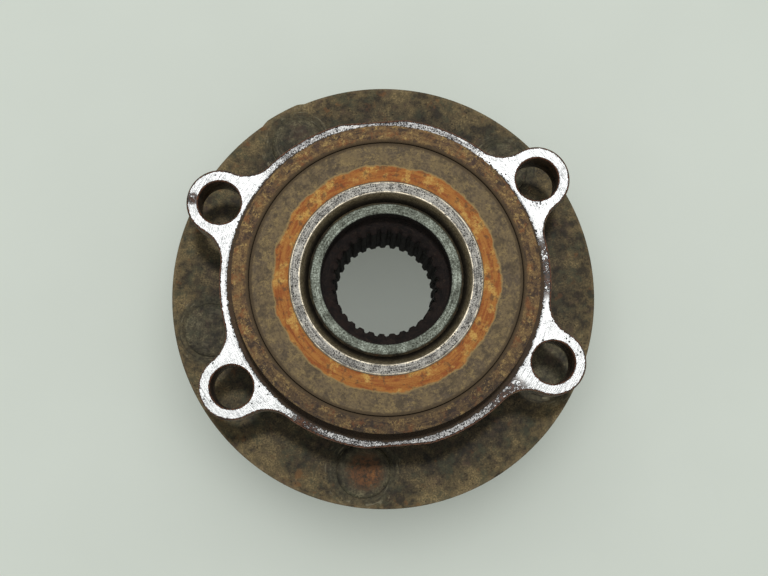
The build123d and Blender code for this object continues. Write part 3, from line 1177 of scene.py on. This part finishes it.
    def build(self) -> None:
        """Makes the ring and dresses the seal parts that stay as the frame has them."""
        draft = Draft()
        self.ring(draft)
        self.plate(draft)
        piece = draft.piece("forged_outer_ring")
        roughen(piece, self.hollow_depth, self.hollow_grain, self.hollow_seed, self.forged)
        place(piece, self.finish(), Body.OUTER_RING, "forged_ring_steel", "outer_ring")
        sheet, rubber = SEAL_SHEET.material("pressed_seal_sheet"), SEAL_RUBBER.material("seal_rubber")
        for name in ("inboard_seal_case", "outboard_seal_case", "inboard_flinger"):
            dress(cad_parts[name], sheet)
        for name in ("inboard_seal_lip", "outboard_seal_lip"):
            dress(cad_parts[name], rubber)


@dataclass
class InnerRing:
    """The ring pressed on the spindle, whose bright land meets the drive shaft."""

    rows: BallRows
    foot: float = field(default_factory=lambda: span("inner_ring")[0])
    top: float = field(default_factory=lambda: span("inner_ring")[1])
    bore_radius: float = 22.5
    mouth_depth: float = 4.7
    land_inner: float = 24.7
    land_outer: float = 27.9
    land_step: float = 0.5
    shoulder_radius: float = 31.0
    race_radius: float = 28.0
    spacing: float = 1.0
    segments: int = 256

    def finish(self) -> bpy.types.Material:
        """Dresses a pitted bright land with clean borders brightened as painted highlights, orange rust round
        it, and an oily mouth darkened deeper down with painted shade.

        Returns:
            The material.
        """
        graph = Graph("inner_ring_steel")
        radius, z, inner, outer = graph.radius, graph.z, self.land_inner, self.land_outer
        wander = graph.wander(0.9, 0.9, 6, 0.75)
        on_land = (radius + wander * 0.3).step(outer + 0.2, outer + 0.05)
        surface = BrightOrangeRust().layer(graph).over(on_land, PITTED_LAND.layer(graph, 0.3))
        reach = radius + wander
        # Painted highlight: brighter steel along the land's edge bevels, partly cleaner wear.
        edges = reach.band(inner - 0.3, inner + 0.4, 0.3) | reach.band(outer - 0.35, outer + 0.1, 0.25)
        patchy = graph.level(graph.noise(2.2, 5, 0.7, shift=18.0).step(0.38, 0.56), 0.35, 1.0)
        border_highlight = edges * patchy * radius.step(outer + 0.25, outer + 0.1)
        surface = surface.over(border_highlight, CLEAN_BORDER_AND_HIGHLIGHT.layer(graph))
        # Painted shade: the mouth darkens from its top edge downwards.
        depth = z.step(self.top + 0.6, self.top - self.mouth_depth + 1.2)
        mouth_with_shade = OILY_MOUTH.layer(graph).over(depth, SHADED_MOUTH.layer(graph))
        in_mouth = z.step(self.top - 0.1, self.top - 0.3) * radius.step(inner + 0.3, inner + 0.1)
        return surface.over(in_mouth, mouth_with_shade).close(graph, 0.14)

    def build(self) -> None:
        """Makes the ring with its raceway."""
        corners = [
            Corner(self.bore_radius, self.foot, 0.6),
            Corner(self.race_radius, self.foot, 0.6),
            *self.rows.groove(self.rows.inboard_height, 206.0, 114.0),
            Corner(self.shoulder_radius, self.top - self.land_step, 0.04),
            Corner(self.land_outer + self.land_step, self.top - self.land_step, 0.2),
            Corner(self.land_outer, self.top, 0.25),
            Corner(self.land_inner, self.top, 0.25),
            Corner(self.bore_radius, self.top - self.mouth_depth),
        ]
        draft = Draft()
        draft.turn(rounded(corners, self.spacing), self.segments)
        place(draft.piece("pressed_inner_ring"), self.finish(), Body.HUB, "ground_ring_steel", "inner_ring")


@dataclass
class EncoderSeal:
    """The smooth dusty ring that closes the bearing, with a crust of rust at its inner edge."""

    foot: float = field(default_factory=lambda: span("encoder_ring")[0])
    top: float = field(default_factory=lambda: span("encoder_ring")[1])
    inner_radius: float = 31.02
    outer_radius: float = 39.42
    rust_reach: float = 32.3
    crust_width: float = 1.8
    crust_rise: float = 0.45
    spacing: float = 1.0
    segments: int = 256

    def finish(self) -> bpy.types.Material:
        """Dresses an olive-brown film with fine marks, rust that has crept in from inside, and painted shade
        round its outer rim.

        Returns:
            The material.
        """
        graph = Graph("encoder_film")
        grains = graph.noise(0.5, 4, 0.8).step(0.44, 0.54)
        dusty = graph.noise(2.2, 6, 0.75, shift=6.0).step(0.48, 0.58) * grains
        darker = graph.noise(3.0, 6, 0.7, shift=13.0).step(0.5, 0.4)
        film = ENCODER_FILM.layer(graph).over(dusty * 0.8, Layer((138, 118, 78), 0.85, 0.0, 0.6))
        film = film.over(darker * 0.6, Layer((58, 48, 34), 0.8, 0.0, 0.3))
        reach = graph.radius + graph.wander(6.0, 3.8, 8, 0.6)
        pale = Layer(graph.tint(graph.noise(0.6, 3), (138, 118, 78), (168, 138, 84)), 0.85, 0.0, 0.5)
        surface = film.over(reach.step(self.rust_reach + 0.9, self.rust_reach + 0.4) * 0.7, pale)
        crept = reach.step(self.rust_reach + 0.5, self.rust_reach)
        surface = surface.over(crept, BrightOrangeRust().layer(graph))
        # Painted shade: dark brown round the outer rim, beside the gap to the outer ring.
        rim = Layer(graph.tint(graph.noise(1.0, 5, 0.7), (50, 40, 28), (92, 76, 52)), 0.9, 0.0, 0.4)
        shaky = graph.radius + graph.noise(1.2, 4) * 0.8
        rim_shade_mask = shaky.step(self.outer_radius - 0.8, self.outer_radius - 0.1)
        return surface.over(rim_shade_mask, rim).close(graph, 0.1)

    def build(self) -> None:
        """Makes the ring with soft edges and its crust."""
        corners = [
            Corner(self.inner_radius, self.foot, 0.05),
            Corner(self.outer_radius, self.foot, 0.05),
            Corner(self.outer_radius, self.top, 0.9),
            Corner(self.inner_radius + self.crust_width, self.top, 0.8),
            Corner(self.inner_radius, self.top + self.crust_rise, 0.02),
        ]
        draft = Draft()
        draft.turn(rounded(corners, self.spacing), self.segments)
        place(draft.piece("encoder_face"), self.finish(), Body.HUB, "encoder_rubber", "encoder_ring")


@dataclass
class WheelHub:
    """The rotating hub: spigot, wheel flange with spotfaces, spindle and splined bore."""

    rows: BallRows
    spigot_foot: float = field(default_factory=lambda: span("hub")[0])
    spindle_end: float = field(default_factory=lambda: span("hub")[1])
    inner_ring_foot: float = field(default_factory=lambda: span("inner_ring")[0])
    flange_radius: float = 69.0
    flange_thickness: float = 11.0
    rim_blend: float = 0.9
    root_blend: float = 5.0
    spigot_radius: float = 33.5
    recess_radius: float = 22.0
    nut_seat: float = 13.0
    relief_radius: float = 17.0
    spline_foot: float = 15.8
    spline_top: float = 49.5
    tooth_count: int = 31
    minor_radius: float = 15.05
    major_radius: float = 16.0
    tooth_share: float = 0.46
    flank_share: float = 0.24
    mouth_radius: float = 19.0
    lead_in: float = 4.5
    spindle_radius: float = 22.5
    spindle_end_radius: float = 21.7
    shoulder_radius: float = 32.0
    land_radius: float = 28.0
    stud_circle: float = 57.15
    stud_count: int = 5
    first_stud: float = 43.0
    spotface_radius: float = 9.9
    spotface_depth: float = 1.5
    spotface_segments: int = 96
    grime: float = 1.3
    bump_degrees: Flat = (108.0, 121.0)
    bump_rise: float = 0.7
    bump_steepness: float = 2.4
    sharp_degrees: float = 32.0
    segments: int = 360

    def wall(self, angle: float, radius: float, height: float) -> float:
        """The wall at an angle: silted teeth in the bore, a bump on the flange's rim, and round elsewhere.

        Args:
            angle: about the axis, in radians.
            radius: of the turned profile there.
            height: along the axis.

        Returns:
            The radius of the wall.
        """
        if radius > self.flange_radius - 2.0:
            first, last = (math.radians(degrees) for degrees in self.bump_degrees)
            share = (angle - first) / (last - first)
            bump = min(1.0, self.bump_steepness * math.sin(math.pi * share)) if 0.0 < share < 1.0 else 0.0
            return radius + self.bump_rise * bump
        in_spline = self.spline_foot - 0.1 < height < self.spline_top + self.lead_in
        if radius >= self.major_radius or not in_spline:
            return radius
        phase = abs((angle * self.tooth_count / FULL_TURN) % 1.0 - 0.5) * 2
        silted = min(1.0, 0.8 + 0.45 * noise.noise(Vector((angle * 9, height / 6, 0))))
        depth = max(0.0, min(1.0, (phase - self.tooth_share) / self.flank_share)) * silted
        return max(radius, self.minor_radius + (self.major_radius - self.minor_radius) * depth)

    def stud_centres(self) -> list[Flat]:
        """Where the studs stand."""
        degrees = [self.first_stud + 360 / self.stud_count * number for number in range(self.stud_count)]
        return [polar(self.stud_circle, math.radians(angle)) for angle in degrees]

    def body(self) -> bpy.types.Object:
        """Turns the splined body, before its spotfaces are cut.

        Returns:
            The hub.
        """
        corners = [
            Corner(self.recess_radius, self.spigot_foot, 0.8),
            Corner(self.spigot_radius, self.spigot_foot, 1.4),
            Corner(self.spigot_radius, 0.0, 0.4),
            Corner(self.flange_radius, 0.0, self.rim_blend),
            Corner(self.flange_radius, self.flange_thickness, self.rim_blend),
            Corner(self.shoulder_radius, self.flange_thickness, self.root_blend),
            *self.rows.groove(self.rows.outboard_height, 256.0, 154.0),
            Corner(self.land_radius, self.inner_ring_foot),
            Corner(self.spindle_radius, self.inner_ring_foot),
            Corner(self.spindle_radius, self.spindle_end - 1.4),
            Corner(self.spindle_end_radius, self.spindle_end, 0.35),
            Corner(self.mouth_radius, self.spindle_end, 0.45),
            Corner(self.mouth_radius, self.spline_top + self.lead_in, 0.6),
            Corner(self.minor_radius, self.spline_top),
            Corner(self.minor_radius, self.spline_foot, 0.1),
            Corner(self.relief_radius, self.spline_foot),
            Corner(self.relief_radius, self.nut_seat, 0.4),
            Corner(self.recess_radius, self.nut_seat, 0.8),
        ]
        draft = Draft()
        draft.turn(rounded(corners), self.segments, self.wall)
        return draft.piece("splined_hub", 50.0)

    def spotfaces(self) -> bpy.types.Object:
        """Makes the cutter for the spotfaces, which leaves the grime round each stud's head.

        Returns:
            The cutter.
        """
        rim, top = self.spotface_radius, self.flange_thickness
        floor = top - self.spotface_depth
        grime = floor + self.grime
        profile = [
            (ON_AXIS, floor),
            (rim - 1.3, floor),
            (rim - 1.3, grime - 0.1),
            (rim - 0.3, grime + 0.04),
            (rim, grime + 0.1),
            (rim + 0.3, top + 0.02),
            (rim + 0.3, top + 1.0),
            (ON_AXIS, top + 1.0),
        ]
        draft = Draft()
        for centre in self.stud_centres():
            draft.turn(profile, self.spotface_segments, centre=centre)
        return draft.piece("spotface_cutter")

    def flange(self, graph: Graph) -> Layer:
        """Makes dark oxide darkened with painted shade near the ring, paler dusty oxide lightened with
        painted light farther out, and a worn rim lightened as a painted highlight.

        Args:
            graph: the finish being made.

        Returns:
            The surface.
        """
        # Painted shade near the ring and painted light farther out, laid over real oxide.
        outward = (graph.radius + graph.wander(8, 9.0)).step(57.0, 68.0)
        surface = INNER_FLANGE_OXIDE_AND_SHADE.layer(graph).over(outward, OUTER_FLANGE_OXIDE_AND_LIGHT.layer(graph))
        # Painted highlight: lighter oxide on the rim, over real wear.
        rim = graph.radius.step(self.flange_radius - 1.3, self.flange_radius - 0.6)
        return surface.over(rim * graph.noise(3, 4).step(0.3, 0.5), FLANGE_RIM_WEAR_AND_HIGHLIGHT.layer(graph))

    def around_stud(self, surface: Layer, graph: Graph, number: int, centre: Flat) -> Layer:
        """Lays green-brown grime and broken turning marks round one stud.

        Args:
            surface: what lies under them.
            graph: the finish being made.
            number: the stud's number, which shifts its marks.
            centre: where the stud stands.

        Returns:
            The surface with the stud's surroundings.
        """
        reach = graph.away(*centre) + graph.wander(2.5, 6.0, 5, 0.65, 19.0)
        film = graph.tint(graph.noise(1.2, 6, 0.7).step(0.4, 0.6), (42, 40, 29), (78, 74, 55))
        surface = surface.over(reach.step(12.5, 10.0) * 0.7, Layer(film, 0.8, 0.1, 0.4))
        marks = graph.arcs(*centre, 0.8, 20.0 + number)
        around = graph.near(*centre, self.spotface_radius + 2.6, 2.4)
        dim = around * marks.step(0.48, 0.38) * graph.noise(4, 4, shift=15.0).step(0.42, 0.54) * 0.6
        surface = surface.over(dim, Layer((36, 33, 25), 0.8, 0.1, 0.2))
        scuffs = around * marks.step(0.52, 0.6) * graph.noise(3, 4, shift=17.0).step(0.48, 0.58) * 0.5
        return surface.over(scuffs, Layer((136, 128, 102), 0.6, 0.2, 0.6))

    def finish(self) -> bpy.types.Material:
        """Dresses an oxidised flange with painted shade and painted light, stained spindle end, rusty bore
        darkened with painted shade, and worn wheel face.

        Returns:
            The material.
        """
        graph = Graph("hub_forging")
        radius, z = graph.radius, graph.z
        surface = self.flange(graph)
        for number, centre in enumerate(self.stud_centres()):
            surface = self.around_stud(surface, graph, number, centre)
        # Painted shade: very dark rust throughout the splined bore.
        in_bore = radius.step(self.mouth_radius + 0.3, self.mouth_radius) * z.step(10.0, 12.0)
        surface = surface.over(in_bore, BORE_RUST_AND_SHADE.layer(graph))
        on_end = z.step(self.spindle_end - 0.35, self.spindle_end - 0.15) * radius.step(24.0, 23.0)
        surface = surface.over(on_end, StainedSteel().layer(graph))
        wheel_face = z.step(0.6, 0.1) * graph.noise(7, 5, 0.6).step(0.42, 0.56)
        return surface.over(wheel_face * 0.7, WORN_WHEEL_FACE.layer(graph, 0.6)).close(graph, 0.3)

    def build(self) -> None:
        """Makes the hub and cuts its spotfaces."""
        piece, cutter = self.body(), self.spotfaces()
        cut = piece.modifiers.new("spotfaces", "BOOLEAN")
        cut.operation, cut.solver, cut.object = "DIFFERENCE", "EXACT", cutter
        with bpy.context.temp_override(object=piece, active_object=piece):
            bpy.ops.object.modifier_apply(modifier=cut.name)
        bpy.data.objects.remove(cutter)
        soften(piece.data, self.sharp_degrees)
        place(piece, self.finish(), Body.HUB, "forged_hub_steel", "hub")


@dataclass
class WheelStuds:
    """The five pressed studs, each with a round head, a knurl and a rolled thread."""

    hub: WheelHub
    head_radius: float = 8.7
    head_height: float = 3.0
    knurl_radius: float = 6.5
    knurl_depth: float = 0.25
    knurl_count: int = 30
    thread_radius: float = 6.0
    thread_pitch: float = 1.5
    thread_depth: float = 0.85
    crest_share: float = 0.12
    tip_radius: float = 4.7
    tip_length: float = 3.0
    plain_length: float = 2.0
    sharp_degrees: float = 30.0
    segments: int = 60

    @property
    def head_foot(self) -> float:
        """The height of the spotface that the head sits on."""
        return self.hub.flange_thickness - self.hub.spotface_depth

    def shank(self, angle: float, radius: float, height: float) -> float:
        """The shank's surface: knurled in the flange, threaded below it.

        Args:
            angle: about the stud, in radians.
            radius: of the turned profile.
            height: along the stud.

        Returns:
            The radius of the surface.
        """
        if 0.4 < height < self.head_foot - 0.3 and radius < self.knurl_radius + 0.1:
            return radius - self.knurl_depth * (0.5 + 0.5 * math.cos(angle * self.knurl_count))
        if height < -self.plain_length and abs(radius - self.thread_radius) < 0.01:
            phase = (height / self.thread_pitch - angle / FULL_TURN) % 1.0
            flank = (abs(phase - 0.5) * 2 - self.crest_share) / (1.0 - 2 * self.crest_share)
            return radius - self.thread_depth * max(0.0, min(1.0, flank))
        return radius

    def profile(self, foot: float) -> list[Flat]:
        """Draws the stud's turned profile from its tip to the top of its head.

        Args:
            foot: the height of the tip.

        Returns:
            The profile's points as (radius, height).
        """
        tip, thread, knurl, head = self.tip_radius, self.thread_radius, self.knurl_radius, self.head_radius
        thread_foot, thread_top = foot + self.tip_length + 0.4, -self.plain_length
        floor, top = self.head_foot, self.head_foot + self.head_height
        steps = math.ceil((thread_top - thread_foot) / (self.thread_pitch / 8))
        return [
            (ON_AXIS, foot),
            (tip - 0.4, foot),
            (tip, foot + 0.4),
            (tip, foot + self.tip_length - 1.2),
            (thread - self.thread_depth, foot + self.tip_length),
            *((thread, thread_foot + (thread_top - thread_foot) * step / steps) for step in range(steps + 1)),
            (thread, 0.0),
            (knurl, 0.5),
            (knurl, floor),
            (head, floor),
            (head, top - 1.3),
            (head - 0.15, top - 0.8),
            (head - 0.5, top - 0.4),
            (head - 1.2, top - 0.1),
            (head - 2.5, top),
            (head - 5.5, top - 0.05),
            (ON_AXIS, top - 0.12),
        ]

    def heads(self, graph: Graph) -> Layer:
        """Makes brown oxide with patches of turning marks on each head.

        Args:
            graph: the finish being made.

        Returns:
            The surface.
        """
        surface = STUD_HEAD.layer(graph)
        for number, centre in enumerate(self.hub.stud_centres()):
            marks = graph.arcs(*centre, 0.8, 30.0 + number).step(0.42, 0.6)
            turned = Layer(graph.tint(marks, (40, 37, 27), (96, 89, 69)), 0.7, 0.1, marks * 0.6)
            patches = graph.noise(3.0, 5, 0.6).step(0.5, 0.6) * 0.5
            surface = surface.over(graph.near(*centre, self.head_radius - 0.6, 1.4) * patches, turned)
        return surface

    def finish(self) -> bpy.types.Material:
        """Dresses brown heads, one of them rusty orange, and darker threads.

        Returns:
            The material.
        """
        graph = Graph("stud_oxide")
        on_thread = graph.z.step(0.4, 0.0) * graph.noise(4, 4).step(0.36, 0.56)
        surface = self.heads(graph).over(on_thread, DARK_THREAD.layer(graph))
        x, y = self.hub.stud_centres()[3]
        on_head = graph.z.step(8.0, 10.0)
        browned = graph.near(x + 0.6, y, 5.6, 4.0) * graph.noise(3.0, 6, 0.7).step(0.34, 0.46) * on_head * 0.9
        brown = graph.tint(graph.noise(1.4, 6, 0.7).step(0.4, 0.6), (60, 44, 29), (106, 68, 39))
        surface = surface.over(browned, Layer(brown, 0.85, 0.0, 0.5))
        patch = graph.noise(1.4, 6, 0.75, shift=4.0).step(0.5, 0.58)
        glowing = graph.near(x + 2.4, y - 2.2, 2.6, 4.0) * patch * on_head * 0.8
        orange = graph.tint(graph.noise(1.0, 5, 0.7), (116, 72, 36), (152, 104, 54))
        return surface.over(glowing, Layer(orange, 0.85, 0.0, 0.5)).close(graph, 0.2)

    def build(self) -> None:
        """Makes each stud in its own hole."""
        material = self.finish()
        for number, centre in enumerate(self.hub.stud_centres(), 1):
            node = f"wheel_stud_{number}"
            draft = Draft()
            loops = draft.turn(self.profile(span(node)[0]), self.segments, self.shank, centre, closed=False)
            draft.faces.append(tuple(reversed(loops[0])))
            draft.faces.append(tuple(loops[-1]))
            piece = draft.piece(f"threaded_stud_{number}", self.sharp_degrees)
            place(piece, material, Body.HUB, "stud_steel", node)


# ---------------------------------------------------------------- studio


@dataclass(frozen=True)
class Camera:
    """The camera: where it stands, what it looks at, its upward direction and its lens, in millimetres."""

    stand: Point = (-9.28, -40.89, 448.31)
    target: Point = (0.54, 3.58, 0.0)
    upward: Point = (0.07493, 0.99216, 0.10006)
    lens: float = 63.1
    sensor: float = 36.0
    nearest: float = 10.0

    def build(self) -> None:
        """Makes the camera and sets it as the scene's."""
        data = bpy.data.cameras.new("camera")
        data.lens, data.sensor_width, data.clip_start = self.lens, self.sensor, self.nearest * MM
        made = added("camera", data)
        stand, target, upward = (Vector(point) * MM for point in (self.stand, self.target, self.upward))
        back = (stand - target).normalized()
        right = upward.cross(back).normalized()
        true_up = back.cross(right)
        made.matrix_world = Matrix.Translation(stand) @ Matrix((right, true_up, back)).transposed().to_4x4()
        bpy.context.scene.camera = made


@dataclass(frozen=True)
class Softbox:
    """A square soft light that faces the part: its name, place and size in metres, and power in watts."""

    name: str
    stand: Point
    size: float
    watts: float

    def build(self) -> bpy.types.Object:
        """Hangs the light.

        Returns:
            The lamp.
        """
        data = bpy.data.lights.new(self.name, "AREA")
        data.shape, data.size, data.energy = "SQUARE", self.size, self.watts
        made = added(self.name, data)
        made.location = self.stand
        made.rotation_euler = (-Vector(self.stand)).to_track_quat("-Z", "Y").to_euler()
        return made


@dataclass(frozen=True)
class Studio:
    """A pale floor of soft sheet and soft light from above and behind. Its lengths are in metres."""

    floor_size: float = 3.0
    floor_low: Colour = (214, 221, 212)
    floor_high: Colour = (222, 229, 220)
    floor_glow: float = 0.14
    lamp: Softbox = Softbox("overhead_softbox", (0.03, 0.15, 1.15), 0.07, 7.2)
    sheet: Softbox = Softbox("floor_softbox", (0.0, 0.3, 1.3), 1.0, 8.2)
    world_colour: Colour = (236, 238, 234)
    world_strength: float = 0.43

    def floor(self) -> bpy.types.Object:
        """Lays the floor under the studs' tips.

        Returns:
            The floor.
        """
        half, height = self.floor_size / 2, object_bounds()[0][2]
        corners = [(-half, -half, height), (half, -half, height), (half, half, height), (-half, half, height)]
        mesh = bpy.data.meshes.new("floor")
        mesh.from_pydata(corners, [], [(0, 1, 2, 3)])
        made = added("floor", mesh)
        graph = Graph("pale_floor")
        graph.feed(graph.shader.inputs["Emission Color"], self.floor_high)
        graph.feed(graph.shader.inputs["Emission Strength"], self.floor_glow)
        colour = graph.tint(graph.noise(60, 3), self.floor_low, self.floor_high)
        dress(made, Layer(colour, 0.8, 0.0, 0.0).close(graph))
        made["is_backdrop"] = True
        return made

    def build(self) -> None:
        """Makes the floor, a light for the part alone, one for the floor alone, and the surroundings."""
        floor = self.floor()
        for light, state in ((self.lamp.build(), "EXCLUDE"), (self.sheet.build(), "INCLUDE")):
            lit = bpy.data.collections.new(f"{light.name}_receivers")
            lit.objects.link(floor)
            lit.collection_objects[0].light_linking.link_state = state
            light.light_linking.receiver_collection = lit
        world = bpy.data.worlds.new("studio")
        world.use_nodes = True
        background = world.node_tree.nodes["Background"]
        background.inputs[0].default_value = linear(self.world_colour)
        background.inputs[1].default_value = self.world_strength
        bpy.context.scene.world = world
        bpy.context.scene.view_settings.view_transform = "Standard"


def main() -> None:
    """Builds every sub-assembly in order."""
    logging.basicConfig(level=logging.INFO, format="%(name)s: %(message)s")
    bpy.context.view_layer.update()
    rows = BallRows()
    hub = WheelHub(rows)
    rings = OuterRing(rows), InnerRing(rows), EncoderSeal()
    for part in (Studio(), Camera(), rows, *rings, hub, WheelStuds(hub)):
        part.build()


if __name__ == "__main__":
    main()
